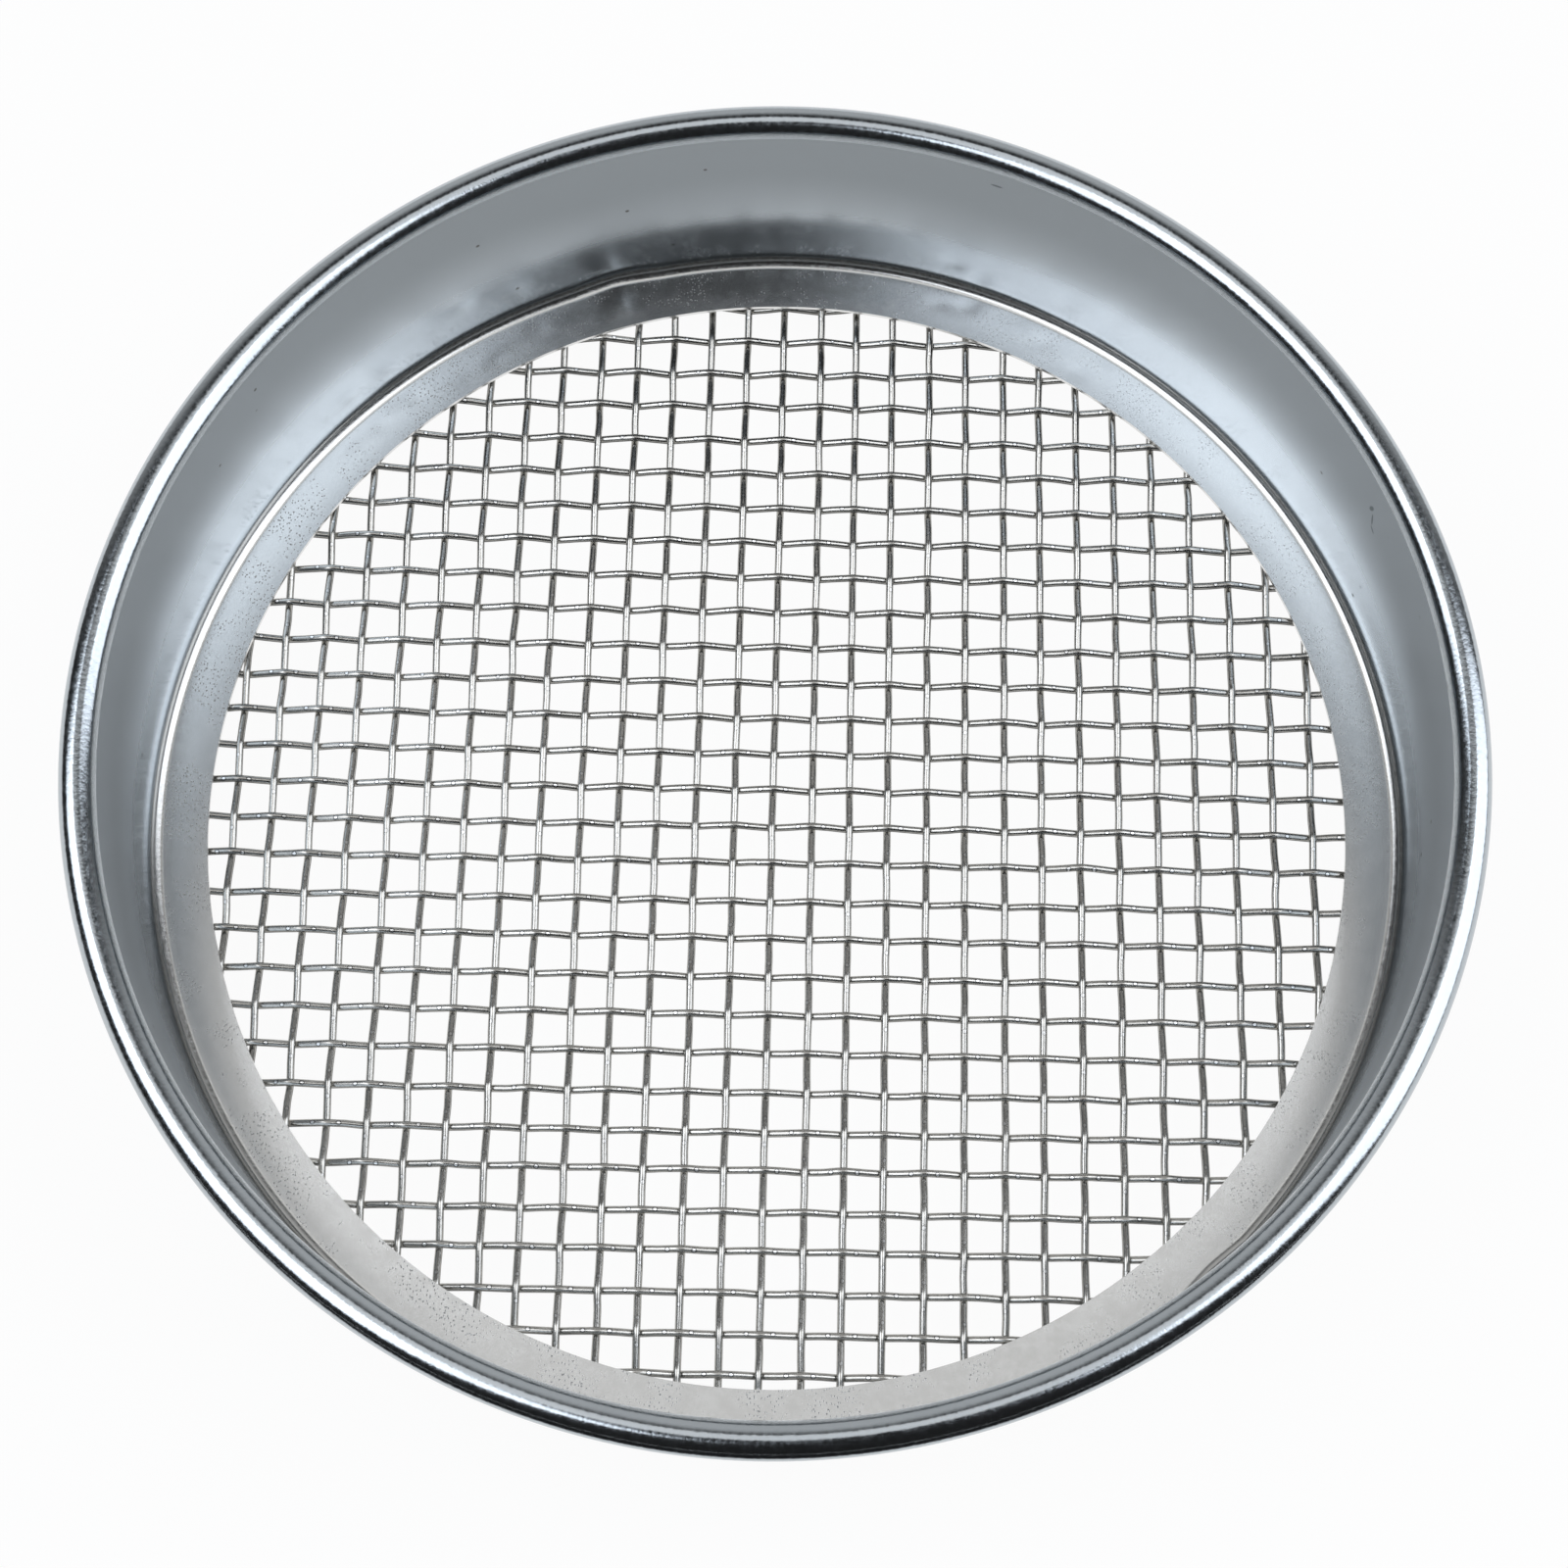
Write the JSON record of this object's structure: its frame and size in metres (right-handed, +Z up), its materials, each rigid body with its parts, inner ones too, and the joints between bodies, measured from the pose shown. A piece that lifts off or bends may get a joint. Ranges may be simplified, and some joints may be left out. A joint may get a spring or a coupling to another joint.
{
  "type": "test sieve",
  "caption": "Round laboratory test sieve: a drawn metal frame with a rolled rim, an inner flange and a nesting skirt, and a floor of square woven wire cloth.",
  "frame": {"origin": "centre of the circle on which the skirt's lower edge stands", "axes": "+Z up along the sieve's axis, out of its mouth; +X and +Y along the weft and warp wires of the cloth"},
  "size_m": [0.211, 0.211, 0.052],
  "materials": {
    "frame_steel": "polished wall and rim, satin flange",
    "skirt_steel": "satin",
    "wire_steel": "bright drawn wire"
  },
  "bodies": {
    "root": {"upper_frame": "frame_steel", "skirt": "skirt_steel", "warp_wires": "wire_steel", "weft_wires": "wire_steel"}
  },
  "joints": []
}
